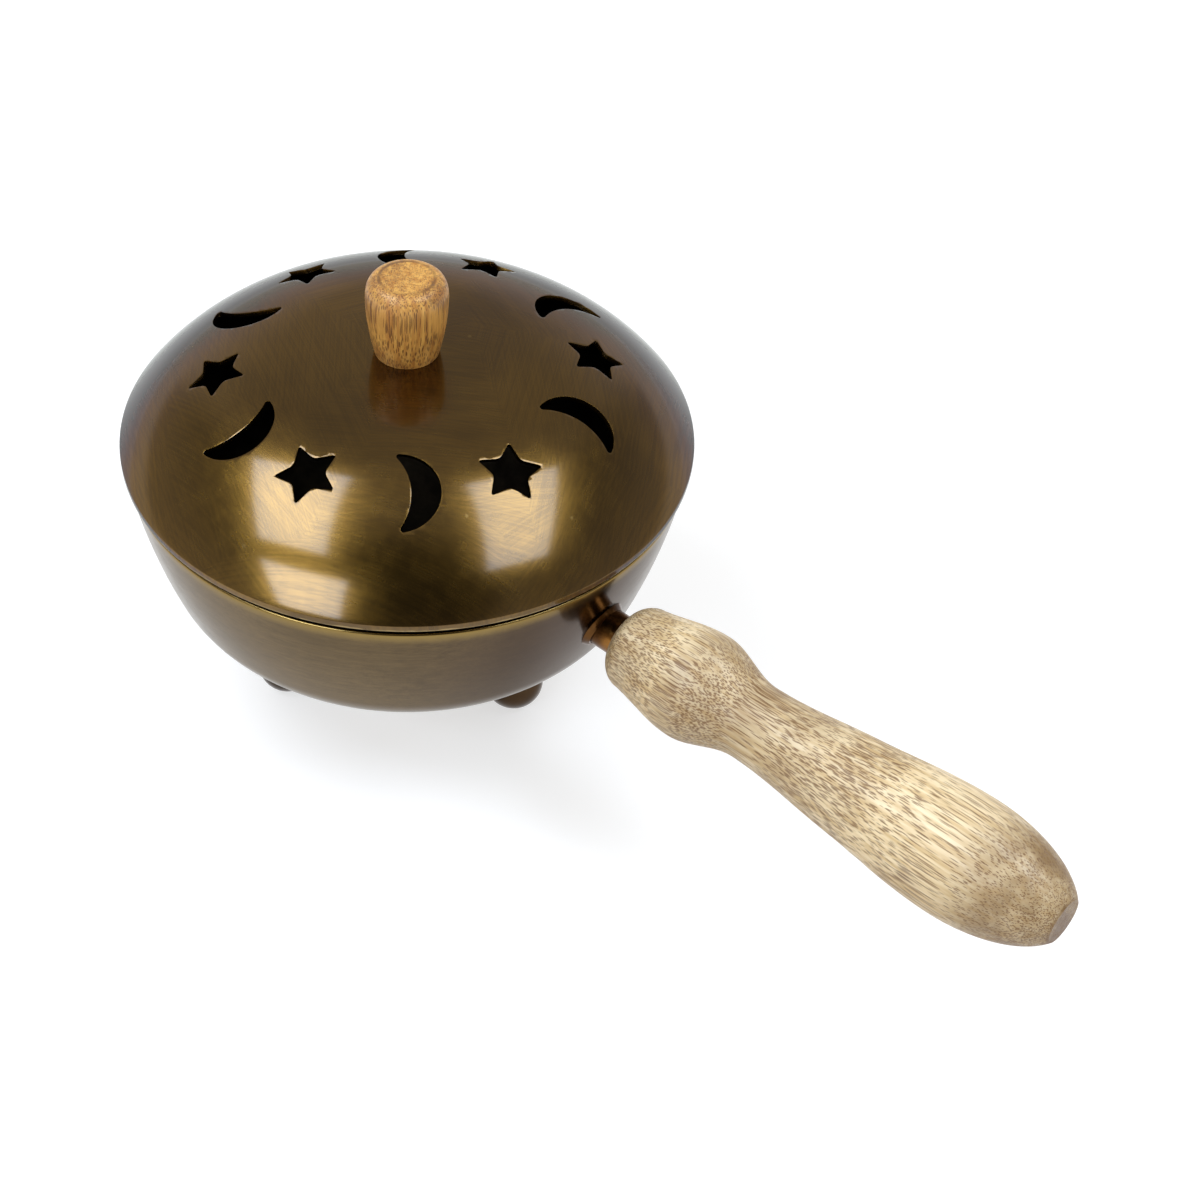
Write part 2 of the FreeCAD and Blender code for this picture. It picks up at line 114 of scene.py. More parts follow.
class Sheet:
    """A node tree that is filled in node by node."""

    def __init__(self, tree: bpy.types.NodeTree) -> None:
        """Keep the tree at hand."""
        self.tree = tree

    @classmethod
    def blank(cls, owner: bpy.types.Material | bpy.types.World) -> "Sheet":
        """Emptied node tree of a new material or world."""
        owner.use_nodes = True
        owner.node_tree.nodes.clear()
        return cls(owner.node_tree)

    def add(self, kind: str, inputs: dict | None = None, **settings: object) -> bpy.types.Node:
        """Add one node.

        Args:
            kind: Node type, as Blender names it.
            inputs: Values or source sockets by input name or index.
            settings: Properties of the node itself.

        Returns:
            The new node.
        """
        node = self.tree.nodes.new(kind)
        for name, value in settings.items():
            setattr(node, name, value)
        for key, value in (inputs or {}).items():
            if isinstance(value, bpy.types.NodeSocket):
                self.tree.links.new(value, node.inputs[key])
            else:
                node.inputs[key].default_value = value
        return node

    def link(self, source: bpy.types.NodeSocket, node: bpy.types.Node, name: str) -> None:
        """Feed a socket into a named input of a node."""
        self.tree.links.new(source, node.inputs[name])

    def math(
        self, operation: str, first: object, second: object = 0.0, clamp: bool = False
    ) -> bpy.types.NodeSocket:
        """Output of one Math node."""
        node = self.add("ShaderNodeMath", {0: first, 1: second}, operation=operation, use_clamp=clamp)
        return node.outputs[0]

    def vector(self, operation: str, *inputs: object) -> bpy.types.NodeSocket:
        """Output of one Vector Math node, which is a number for some operations."""
        node = self.add("ShaderNodeVectorMath", dict(enumerate(inputs)), operation=operation)
        return node.outputs["Value" if operation in NUMBER_RESULTS else "Vector"]

    def ramp(
        self, value: object, low: object, high: object, to_low: float = 0.0, to_high: float = 1.0
    ) -> bpy.types.NodeSocket:
        """Value eased from one range into another, held at its ends."""
        node = self.add(
            "ShaderNodeMapRange",
            {"Value": value, "From Min": low, "From Max": high, "To Min": to_low, "To Max": to_high},
            interpolation_type="SMOOTHSTEP",
        )
        return node.outputs["Result"]

    def mix(self, factor: object, first: object, second: object, blend: str = "MIX") -> bpy.types.NodeSocket:
        """Colour mixed from two colours."""
        node = self.add("ShaderNodeMix", data_type="RGBA", blend_type=blend)
        colours = [socket for socket in node.inputs if socket.type == "RGBA"]
        pairs = [(node.inputs[0], factor), (colours[0], first), (colours[1], second)]
        for socket, value in pairs:
            if isinstance(value, bpy.types.NodeSocket):
                self.tree.links.new(value, socket)
            else:
                socket.default_value = value if isinstance(value, (int, float)) else rgba(value)
        return next(socket for socket in node.outputs if socket.type == "RGBA")

    def noise(
        self, vector: object, scale: object, detail: float = 2.0, roughness: float = 0.5
    ) -> bpy.types.NodeSocket:
        """Value of a noise texture."""
        node = self.add(
            "ShaderNodeTexNoise",
            {"Vector": vector, "Scale": scale, "Detail": detail, "Roughness": roughness},
        )
        return node.outputs[0]


class Effect:
    """A shader node group that several finishes share, built once."""

    name = "effect"
    inlets: tuple[tuple[str, str, float], ...] = ()
    outlets: tuple[str, ...] = ()

    @classmethod
    def tree(cls) -> bpy.types.NodeTree:
        """The group's node tree, made on its first use."""
        if cls.name in bpy.data.node_groups:
            return bpy.data.node_groups[cls.name]
        tree = bpy.data.node_groups.new(cls.name, "ShaderNodeTree")
        for name, kind, value in cls.inlets:
            socket = tree.interface.new_socket(name=name, in_out="INPUT", socket_type=kind)
            if kind == "NodeSocketFloat":
                socket.default_value = value
        for name in cls.outlets:
            tree.interface.new_socket(name=name, in_out="OUTPUT", socket_type="NodeSocketFloat")
        sheet = Sheet(tree)
        start = sheet.add("NodeGroupInput")
        cls.fill(sheet, start, sheet.add("NodeGroupOutput"))
        return tree

    @classmethod
    def fill(cls, sheet: Sheet, start: bpy.types.Node, end: bpy.types.Node) -> None:
        """Wire the group between its inputs and outputs."""
        raise NotImplementedError

    @classmethod
    def place(cls, sheet: Sheet, inputs: dict) -> bpy.types.Node:
        """Put the group into a material."""
        return sheet.add("ShaderNodeGroup", inputs, node_tree=cls.tree())


class BrushedStrokes(Effect):
    """Straight hairlines in patches, each patch brushed roughly round an upright axis."""

    name = "brushed_strokes"
    inlets = (
        ("Position", "NodeSocketVector", 0.0),
        ("Lines", "NodeSocketFloat", 4600.0),
        ("Strokes", "NodeSocketFloat", 60.0),
        ("Spread", "NodeSocketFloat", 0.9),
        ("Rise", "NodeSocketFloat", 1.0),
    )
    outlets = ("Hairlines", "Smears")
    patch_scales = (20.0, 31.0)
    hairline_scales = (1.0, 0.8)
    smear_scales = (0.16, 0.22)
    swing = (0.7, 1.3)

    @classmethod
    def fill(cls, sheet: Sheet, start: bpy.types.Node, end: bpy.types.Node) -> None:
        """Stretched noise, turned in every patch to that patch's own direction."""
        place = start.outputs["Position"]
        lines, strokes = start.outputs["Lines"], start.outputs["Strokes"]
        upright = sheet.math("MULTIPLY", lines, start.outputs["Rise"])
        weave = sheet.add("ShaderNodeCombineXYZ", {0: lines, 1: strokes, 2: upright}).outputs[0]
        layers = []
        for scale in cls.patch_scales:
            cells = sheet.add("ShaderNodeTexVoronoi", {"Vector": place, "Scale": scale, "Randomness": 1.0})
            spot = sheet.add("ShaderNodeSeparateXYZ", {0: cells.outputs["Position"]})
            angle = sheet.math("ARCTAN2", spot.outputs[1], spot.outputs[0])
            chance = sheet.add("ShaderNodeSeparateColor", {0: cells.outputs["Color"]}).outputs[0]
            stray = sheet.math("MULTIPLY", sheet.math("SUBTRACT", chance, 0.5), start.outputs["Spread"])
            angle = sheet.math("MULTIPLY", sheet.math("ADD", angle, stray), -1.0)
            turned = sheet.add(
                "ShaderNodeVectorRotate", {"Vector": place, "Angle": angle}, rotation_type="Z_AXIS"
            ).outputs[0]
            layers.append(sheet.vector("MULTIPLY", turned, weave))
        fine = [sheet.noise(layer, scale, 1.0) for layer, scale in zip(layers, cls.hairline_scales)]
        smears = [sheet.noise(layer, scale, 2.0, 0.6) for layer, scale in zip(layers, cls.smear_scales)]
        sheet.link(sheet.ramp(sheet.math("ADD", *fine), *cls.swing), end, "Hairlines")
        sheet.link(sheet.ramp(sheet.math("ADD", *smears), *cls.swing), end, "Smears")


class PatinaClouds(Effect):
    """Slow, cloudy change of tone in an aged metal, with a few small worn specks."""

    name = "patina_clouds"
    inlets = (
        ("Position", "NodeSocketVector", 0.0),
        ("Scale", "NodeSocketFloat", 26.0),
    )
    outlets = ("Clouds", "Mottle", "Specks")
    mottle_multiple = 9.0
    speck_multiple = 4.0

    @classmethod
    def fill(cls, sheet: Sheet, start: bpy.types.Node, end: bpy.types.Node) -> None:
        """Noise at two sizes, and dots in cells of a third."""
        place, scale = start.outputs["Position"], start.outputs["Scale"]
        slow = sheet.noise(place, scale, 3.0, 0.55)
        mottle = sheet.noise(place, sheet.math("MULTIPLY", scale, cls.mottle_multiple), 4.0, 0.6)
        dots = sheet.add(
            "ShaderNodeTexVoronoi",
            {"Vector": place, "Scale": sheet.math("MULTIPLY", scale, cls.speck_multiple), "Randomness": 1.0},
        ).outputs["Distance"]
        sheet.link(sheet.ramp(slow, 0.32, 0.68), end, "Clouds")
        sheet.link(sheet.ramp(mottle, 0.3, 0.7), end, "Mottle")
        sheet.link(sheet.ramp(dots, 0.05, 0.03), end, "Specks")


class WoodFigure(Effect):
    """Figure of a turned hardwood whose grain runs along the first axis of the position it is given."""

    name = "wood_figure"
    inlets = (
        ("Position", "NodeSocketVector", 0.0),
        ("Pore Scale", "NodeSocketFloat", 1.0),
        ("Pore Reach", "NodeSocketFloat", 0.3),
    )
    outlets = ("Grain", "Pores", "Patches", "Clouding")
    sway_scale = 25.0
    sway = (0.0, 0.4 * MM, 0.4 * MM)
    grain_stretch = (30.0, 950.0, 950.0)
    pore_stretch = (62.0, 2000.0, 2000.0)
    pore_core = 0.6
    patch_scale = 55.0
    cloud_scale = 95.0

    @classmethod
    def fill(cls, sheet: Sheet, start: bpy.types.Node, end: bpy.types.Node) -> None:
        """Stretched noise for the grain, stretched cells for the pores, slow noise for stained patches."""
        place = start.outputs["Position"]
        waves = sheet.add("ShaderNodeTexNoise", {"Vector": place, "Scale": cls.sway_scale, "Detail": 1.0})
        bent = sheet.vector("MULTIPLY_ADD", waves.outputs["Color"], cls.sway, place)
        grain = sheet.noise(sheet.vector("MULTIPLY", bent, cls.grain_stretch), 1.0, 4.0, 0.6)
        slow = sheet.noise(place, cls.patch_scale, 3.0, 0.6)
        cells = sheet.vector("MULTIPLY", bent, cls.pore_stretch)
        dots = sheet.add(
            "ShaderNodeTexVoronoi", {"Vector": cells, "Scale": start.outputs["Pore Scale"], "Randomness": 1.0}
        ).outputs["Distance"]
        reach = sheet.math("MULTIPLY", sheet.ramp(slow, 0.3, 0.7, 0.75, 1.2), start.outputs["Pore Reach"])
        pores = sheet.ramp(dots, reach, sheet.math("MULTIPLY", reach, cls.pore_core))
        clouds = sheet.noise(place, cls.cloud_scale, 3.0, 0.6)
        sheet.link(sheet.ramp(grain, 0.3, 0.7), end, "Grain")
        sheet.link(pores, end, "Pores")
        sheet.link(sheet.ramp(slow, 0.46, 0.68), end, "Patches")
        sheet.link(sheet.ramp(clouds, 0.28, 0.72), end, "Clouding")


@dataclass(frozen=True)
class Finish:
    """A finish of the burner, turned into one material."""

    name: str
    slot: Slot

    def material(self) -> bpy.types.Material:
        """The finish as a material, made on its first use."""
        if self.name in bpy.data.materials:
            return bpy.data.materials[self.name]
        material = bpy.data.materials.new(self.name)
        sheet = Sheet.blank(material)
        shader = sheet.add("ShaderNodeBsdfPrincipled")
        sheet.add("ShaderNodeOutputMaterial", {"Surface": shader.outputs[0]})
        self.paint(sheet, shader)
        return material

    def paint(self, sheet: Sheet, shader: bpy.types.Node) -> None:
        """Wire the finish into its shader."""
        raise NotImplementedError

    def position(self, sheet: Sheet, centre: Vector, turn: Vector | None = None) -> bpy.types.NodeSocket:
        """Object coordinates about a point of the piece, turned if need be."""
        coords = sheet.add("ShaderNodeTexCoord").outputs["Object"]
        moved = sheet.vector("SUBTRACT", coords, centre)
        if turn is None:
            return moved
        return sheet.add("ShaderNodeMapping", {"Vector": moved, "Rotation": turn}).outputs[0]

    def bump(self, sheet: Sheet, shader: bpy.types.Node, height: object, depth: float) -> None:
        """Let a height field raise the surface by a depth in metres."""
        node = sheet.add("ShaderNodeBump", {"Strength": 1.0, "Distance": depth, "Height": height})
        sheet.link(node.outputs[0], shader, "Normal")


@dataclass(frozen=True)
class AgedBrass(Finish):
    """Lacquered brass with a dark patina and satin brushing round the pot's axis."""

    gold: Colour
    dark: Colour
    worn_and_sheen: Colour
    edge_tint_and_dark_reflection: Colour
    gloss: float
    lacquer: float
    line_depth: float
    contrast: float
    spread: float
    smear: float
    rise: float
    worn_and_sheen_heights: Pair
    heat_and_reflection: float = 0.0
    heat_and_reflection_tone: Colour = (0.045, 0.023, 0.017)
    heat_and_reflection_reach: Pair = (52.0 * MM, 6.0 * MM)
    worn_and_sheen_stray: float = 0.4 * MM
    speck_share: float = 0.35
    mottle_gloss: float = 0.02
    smear_gloss: float = 0.01
    lacquer_gloss: float = 0.11

    def paint(self, sheet: Sheet, shader: bpy.types.Node) -> None:
        """Patina clouds and brushing drive colour, roughness and relief."""
        place = self.position(sheet, POT_AXIS)
        strokes = BrushedStrokes.place(sheet, {"Position": place, "Spread": self.spread, "Rise": self.rise})
        clouds = PatinaClouds.place(sheet, {"Position": place})
        hairlines, smears = strokes.outputs["Hairlines"], strokes.outputs["Smears"]
        blend = sheet.math("MULTIPLY", clouds.outputs["Clouds"], 1.0 - self.smear)
        blend = sheet.math("ADD", blend, sheet.math("MULTIPLY", smears, self.smear))
        tone = sheet.mix(blend, self.dark, self.gold)
        fine = sheet.ramp(hairlines, 0.0, 1.0, 1.0 - self.contrast, 1.0 + self.contrast)
        grey = sheet.add("ShaderNodeCombineColor", {0: fine, 1: fine, 2: fine}).outputs[0]
        tone = sheet.mix(1.0, tone, grey, "MULTIPLY")
        # Heat tint and painted dark reflection of the tube, darkening the bowl round the handle's root.
        if self.heat_and_reflection:
            reach = sheet.vector("DISTANCE", place, HANDLE_ROOT)
            heat_and_reflection_share = sheet.math("MULTIPLY", sheet.ramp(reach, *self.heat_and_reflection_reach), self.heat_and_reflection)
            tone = sheet.mix(heat_and_reflection_share, tone, self.heat_and_reflection_tone)
        tone = sheet.mix(self.wear_and_sheen(sheet, place, clouds), tone, self.worn_and_sheen)
        sheet.link(tone, shader, "Base Color")
        shader.inputs["Metallic"].default_value = 1.0
        # Edge tint of the reflection; the lid's is low, which paints a dark reflection along its grazing
        # edges.
        shader.inputs["Specular Tint"].default_value = rgba(self.edge_tint_and_dark_reflection)
        mottle = sheet.ramp(clouds.outputs["Mottle"], 0.0, 1.0, -self.mottle_gloss, self.mottle_gloss)
        rough = sheet.math("ADD", mottle, self.gloss)
        rough = sheet.math("ADD", rough, sheet.ramp(smears, 0.0, 1.0, self.smear_gloss, -self.smear_gloss))
        sheet.link(rough, shader, "Roughness")
        shader.inputs["Coat Weight"].default_value = self.lacquer
        shader.inputs["Coat Roughness"].default_value = self.lacquer_gloss
        self.bump(sheet, shader, hairlines, self.line_depth)

    def wear_and_sheen(
        self, sheet: Sheet, place: bpy.types.NodeSocket, clouds: bpy.types.Node
    ) -> bpy.types.NodeSocket:
        """Share of bare metal, all along a ragged edge and part of it in specks; the edge band is also a
        painted highlight.
        """
        height = sheet.add("ShaderNodeSeparateXYZ", {0: place}).outputs[2]
        ragged = sheet.math("SUBTRACT", clouds.outputs["Mottle"], 0.5)
        ragged = sheet.math("MULTIPLY", ragged, self.worn_and_sheen_stray)
        # Band along the bowl's lip and the lid's lower edge: bare metal worn through the patina and a painted
        # highlight.
        edge = sheet.ramp(sheet.math("ADD", height, ragged), *self.worn_and_sheen_heights)
        specks = sheet.math("MULTIPLY", clouds.outputs["Specks"], self.speck_share)
        return sheet.math("MAXIMUM", edge, specks)


@dataclass(frozen=True)
class BareMetal(Finish):
    """Plain metal with a little uneven tone, for cut edges, braze and fasteners."""

    light: Colour
    dark: Colour
    gloss: float
    cloud_scale: float
    relief: float = 0.01 * MM
    gloss_swing: float = 0.05

    def paint(self, sheet: Sheet, shader: bpy.types.Node) -> None:
        """Cloudy tone and a soft relief."""
        place = self.position(sheet, POT_AXIS)
        clouds = PatinaClouds.place(sheet, {"Position": place, "Scale": self.cloud_scale})
        sheet.link(sheet.mix(clouds.outputs["Clouds"], self.dark, self.light), shader, "Base Color")
        shader.inputs["Metallic"].default_value = 1.0
        ends = (self.gloss - self.gloss_swing, self.gloss + self.gloss_swing)
        sheet.link(sheet.ramp(clouds.outputs["Mottle"], 0.0, 1.0, *ends), shader, "Roughness")
        self.bump(sheet, shader, clouds.outputs["Clouds"], self.relief)


@dataclass(frozen=True)
class Stretch:
    """Stained stretch of a turned piece, by places along its grain in millimetres."""

    start: float
    full: float
    until: float
    gone: float
    share: float


@dataclass(frozen=True)
class TurnedWood(Finish):
    """Oiled hardwood with short dark pores along its grain and stained patches."""

    light: Colour
    deep: Colour
    stain: Colour
    pore: Colour
    centre: Vector
    pore_scale: float
    pore_reach: float
    stain_share: float
    gloss: float
    turn: Vector | None = None
    stretches: tuple[Stretch, ...] = ()
    ring_radius: float = 0.0
    ring_height: float = 0.0
    ring_fade: Pair = (0.6 * MM, 0.1 * MM)
    pore_share: float = 0.8
    gloss_swing: float = 0.06
    grain_relief: float = 0.2
    relief: float = 0.04 * MM

    def paint(self, sheet: Sheet, shader: bpy.types.Node) -> None:
        """Figure drives colour, roughness and relief."""
        place = self.position(sheet, self.centre, self.turn)
        sizes = {"Pore Scale": self.pore_scale, "Pore Reach": self.pore_reach}
        figure = WoodFigure.place(sheet, {"Position": place, **sizes})
        grain, pores = figure.outputs["Grain"], figure.outputs["Pores"]
        along = sheet.add("ShaderNodeSeparateXYZ", {0: place}).outputs[0]
        tone = sheet.mix(grain, self.light, self.deep)
        tone = sheet.mix(self.stained(sheet, figure, along), tone, self.stain)
        if self.ring_radius:
            tone = sheet.mix(self.ring(sheet, figure, place, along), tone, self.pore)
        tone = sheet.mix(sheet.math("MULTIPLY", pores, self.pore_share), tone, self.pore)
        sheet.link(tone, shader, "Base Color")
        ends = (self.gloss - self.gloss_swing, self.gloss + self.gloss_swing)
        sheet.link(sheet.ramp(grain, 0.0, 1.0, *ends), shader, "Roughness")
        height = sheet.math("SUBTRACT", sheet.math("MULTIPLY", grain, self.grain_relief), pores)
        self.bump(sheet, shader, height, self.relief)

    def stained(
        self, sheet: Sheet, figure: bpy.types.Node, along: bpy.types.NodeSocket
    ) -> bpy.types.NodeSocket:
        """Share of stain, in patches everywhere and clouded over the stained stretches."""
        stained = sheet.math("MULTIPLY", figure.outputs["Patches"], self.stain_share)
        clouded = sheet.ramp(figure.outputs["Clouding"], 0.0, 1.0, 0.5, 1.0)
        for stretch in self.stretches:
            begun = sheet.ramp(along, stretch.start * MM, stretch.full * MM, 0.0, stretch.share)
            lasting = sheet.ramp(along, stretch.gone * MM, stretch.until * MM)
            share = sheet.math("MULTIPLY", sheet.math("MULTIPLY", begun, lasting), clouded)
            stained = sheet.math("MAXIMUM", stained, share)
        return stained

    def ring(
        self, sheet: Sheet, figure: bpy.types.Node, place: bpy.types.NodeSocket, along: bpy.types.NodeSocket
    ) -> bpy.types.NodeSocket:
        """Share of a fine turned line, uneven in strength, on the end of the piece."""
        reach = sheet.vector("LENGTH", sheet.vector("MULTIPLY", place, (0.0, 1.0, 1.0)))
        off = sheet.math("ABSOLUTE", sheet.math("SUBTRACT", reach, self.ring_radius))
        on_end = sheet.math("GREATER_THAN", along, self.ring_height)
        line = sheet.math("MULTIPLY", sheet.ramp(off, *self.ring_fade), on_end)
        return sheet.math("MULTIPLY", line, sheet.ramp(figure.outputs["Clouding"], 0.0, 1.0, 0.15, 0.75))


LID_BRASS = AgedBrass(
    "lid_aged_brass", Slot.LID_BRASS,
    gold=(0.156, 0.085, 0.013), dark=(0.09, 0.047, 0.007), worn_and_sheen=(0.28, 0.19, 0.07),
    # Low edge tint: a painted dark reflection along the lid's grazing edges.
    edge_tint_and_dark_reflection=(0.11, 0.15, 0.05),
    gloss=0.25, lacquer=0.75, line_depth=0.0008 * MM, contrast=0.13, spread=0.6, smear=0.15, rise=0.03,
    # Worn band at the lid's lower edge: bare metal and a painted highlight.
    worn_and_sheen_heights=(63.1 * MM, 62.8 * MM),
)
# The bowl's heat share darkens it round the handle's root: a heat tint and a painted dark reflection of the
# tube.
BOWL_BRASS = AgedBrass(
    "bowl_aged_brass", Slot.BOWL_BRASS,
    gold=(0.13, 0.085, 0.035), dark=(0.08, 0.051, 0.02), worn_and_sheen=(0.22, 0.145, 0.042),
    edge_tint_and_dark_reflection=(0.8, 0.78, 0.75),
    gloss=0.2, lacquer=0.2, line_depth=0.0015 * MM, contrast=0.1, spread=0.2, smear=0.4, rise=1.0,
    # Worn band along the bowl's lip: bare metal and a painted highlight.
    worn_and_sheen_heights=(57.5 * MM, 60.6 * MM), heat_and_reflection=0.9,
)
# Brighter bare brass for the cut hole walls and rounded hole edges: real cut metal and a painted highlight.
CUT_BRASS_AND_HIGHLIGHT = BareMetal(
    "cut_brass_edge_and_highlight", Slot.LID_BRASS,
    light=(0.42, 0.3, 0.14), dark=(0.26, 0.17, 0.07), gloss=0.3, cloud_scale=300.0,
)
SMOKED = BareMetal(
    "smoked_inside", Slot.BOWL_BRASS,
    light=(0.03, 0.022, 0.014), dark=(0.012, 0.009, 0.006), gloss=0.6, cloud_scale=120.0, relief=0.02 * MM,
)
TUBE_BRASS = BareMetal(
    "heat_tinted_tube", Slot.TUBE_BRASS,
    light=(0.27, 0.12, 0.028), dark=(0.075, 0.03, 0.009), gloss=0.22, cloud_scale=110.0,
)
BRAZE = BareMetal(
    "braze_bead_metal", Slot.BRAZE,
    light=(0.1, 0.044, 0.013), dark=(0.03, 0.013, 0.005), gloss=0.17, cloud_scale=240.0, relief=0.08 * MM,
)
FOOT_BRASS = BareMetal(
    "dark_foot_brass", Slot.FOOT_BRASS,
    light=(0.07, 0.042, 0.022), dark=(0.032, 0.019, 0.01), gloss=0.2, cloud_scale=90.0,
)
STEEL = BareMetal(
    "plated_steel", Slot.FASTENER_STEEL,
    light=(0.6, 0.58, 0.55), dark=(0.4, 0.39, 0.37), gloss=0.3, cloud_scale=200.0,
)
KNOB_WOOD = TurnedWood(
    "turned_knob_wood", Slot.KNOB_WOOD,
    light=(0.7, 0.365, 0.08), deep=(0.42, 0.17, 0.029),
    stain=(0.2, 0.085, 0.023), pore=(0.1, 0.034, 0.009),
    centre=POT_AXIS + UP * (84.0 * MM), turn=Vector((0.0, math.radians(90.0), 0.0)),
    pore_scale=1.7, pore_reach=0.44, stain_share=0.5, gloss=0.42,
    ring_radius=5.6 * MM, ring_height=17.2 * MM,
)
GRIP_WOOD = TurnedWood(
    "turned_grip_wood", Slot.GRIP_WOOD,
    light=(0.83, 0.655, 0.395), deep=(0.61, 0.415, 0.19),
    stain=(0.2, 0.108, 0.034), pore=(0.15, 0.058, 0.011),
    centre=Vector((9.44 * MM, 0.0, HANDLE_HEIGHT)),
    pore_scale=2.0, pore_reach=0.5, stain_share=0.22, gloss=0.46,
    stretches=(
        Stretch(-10.0, -5.0, 6.0, 18.0, 0.36),
        Stretch(12.0, 20.0, 42.0, 62.0, 0.5),
        Stretch(78.0, 98.0, 200.0, 300.0, 0.95),
        Stretch(101.8, 102.6, 200.0, 300.0, 1.3),
    ),
)


class Pen:
    """Draws a profile in millimetres from the pot's axis, and turns it into a round piece."""

    def __init__(self, reach: float, height: float) -> None:
        """Start at a point of the profile."""
        self.bm = bmesh.new()
        self.tip = self.bm.verts.new(self.place(reach, height))

    @staticmethod
    def place(reach: float, height: float) -> Vector:
        """Point of the profile plane in metres."""
        return POT_AXIS + Vector((reach * MM, 0.0, height * MM))

    def line(self, reach: float, height: float) -> None:
        """Draw a straight edge to a point."""
        made = bmesh.ops.extrude_vert_indiv(self.bm, verts=[self.tip])
        self.tip = made["verts"][0]
        self.tip.co = self.place(reach, height)

    def arc(self, centre: Pair, degrees: float, steps: int) -> None:
        """Draw an arc round a centre, outwards and down for a positive angle."""
        made = bmesh.ops.spin(
            self.bm, geom=[self.tip], cent=self.place(*centre), axis=ACROSS, dvec=(0.0, 0.0, 0.0),
            angle=math.radians(degrees), steps=steps, use_duplicate=False,
        )
        self.tip = next(item for item in made["geom_last"] if isinstance(item, bmesh.types.BMVert))

    def close(self) -> None:
        """Draw the last edge back to the first point."""
        self.bm.verts.ensure_lookup_table()
        self.bm.edges.new((self.tip, self.bm.verts[0]))

    def turn(self, steps: int) -> bmesh.types.BMesh:
        """Spin the profile all the way round the pot's axis.

        Args:
            steps: Number of sides of the round piece.

        Returns:
            The closed round shape, its faces outwards.
        """
        bmesh.ops.spin(
            self.bm, geom=self.bm.verts[:] + self.bm.edges[:], cent=POT_AXIS, axis=UP, dvec=(0.0, 0.0, 0.0),
            angle=math.tau, steps=steps, use_merge=True, use_duplicate=False,
        )
        bmesh.ops.remove_doubles(self.bm, verts=self.bm.verts[:], dist=WELD)
        bmesh.ops.recalc_face_normals(self.bm, faces=self.bm.faces[:])
        return self.bm


def soften(bm: bmesh.types.BMesh) -> None:
    """Shade faces smooth and keep real creases sharp."""
    for face in bm.faces:
        face.smooth = True
    for edge in bm.edges:
        edge.smooth = edge.calc_face_angle(0.0) < CREASE


def fixed_order(bm: bmesh.types.BMesh) -> None:
    """Sort a cut mesh by place, since a cut can leave its pieces in any order."""
    bm.verts.sort(key=lambda vert: vert.co.dot(SORT_WAY))
    bm.edges.sort(key=lambda edge: (edge.verts[0].co + edge.verts[1].co).dot(SORT_WAY))
    bm.faces.sort(key=lambda face: face.calc_center_median().dot(SORT_WAY))
    for items in (bm.verts, bm.edges, bm.faces):
        items.index_update()
        items.ensure_lookup_table()


def as_object(bm: bmesh.types.BMesh, name: str) -> bpy.types.Object:
    """Turn a finished bmesh into an object at the origin and free the bmesh."""
    mesh = bpy.data.meshes.new(name)
    bm.to_mesh(mesh)
    bm.free()
    piece = bpy.data.objects.new(name, mesh)
    bpy.context.scene.collection.objects.link(piece)
    return piece


def finish_piece(piece: bpy.types.Object, finishes: list[Finish], body: Body, node: str) -> None:
    """Give a new piece its materials and body, and hide the CAD node that it stands for."""
    for finish in finishes:
        piece.data.materials.append(finish.material())
    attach(piece, body.value)
    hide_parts(node)
    LOG.info("%s: %d faces in place of %s", piece.name, len(piece.data.polygons), node)


class SmoothSkin:
    """Modifier that joins a CAD node's loose facets and shades its curved faces smooth."""

    name = "smooth_skin"
    weld = 0.0005 * MM

    @classmethod
    def tree(cls) -> bpy.types.NodeTree:
        """Geometry node group, made on its first use."""
        if cls.name in bpy.data.node_groups:
            return bpy.data.node_groups[cls.name]
        tree = bpy.data.node_groups.new(cls.name, "GeometryNodeTree")
        for side in ("INPUT", "OUTPUT"):
            tree.interface.new_socket(name="Geometry", in_out=side, socket_type="NodeSocketGeometry")
        sheet = Sheet(tree)
        start = sheet.add("NodeGroupInput")
        joined = sheet.add(
            "GeometryNodeMergeByDistance", {"Geometry": start.outputs[0], "Distance": cls.weld}
        )
        faces = sheet.add("GeometryNodeSetShadeSmooth", {"Geometry": joined.outputs[0]}, domain="FACE")
        angle = sheet.add("GeometryNodeInputMeshEdgeAngle").outputs[0]
        sharp = sheet.add(
            "FunctionNodeCompare", {0: angle, 1: CREASE}, data_type="FLOAT", operation="GREATER_THAN"
        )
        edges = sheet.add(
            "GeometryNodeSetShadeSmooth",
            {"Geometry": faces.outputs[0], "Selection": sharp.outputs[0], "Shade Smooth": False},
            domain="EDGE",
        )
        sheet.add("NodeGroupOutput", {0: edges.outputs[0]})
        return tree


def dress_node(name: str, finish: Finish) -> None:
    """Give a CAD node a finish and a smooth skin."""
    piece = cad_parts[name]
    piece.data.materials.clear()
    piece.data.materials.append(finish.material())
    skin = piece.modifiers.new(SmoothSkin.name, "NODES")
    skin.node_group = SmoothSkin.tree()
    LOG.info("%s: dressed in %s", name, finish.name)


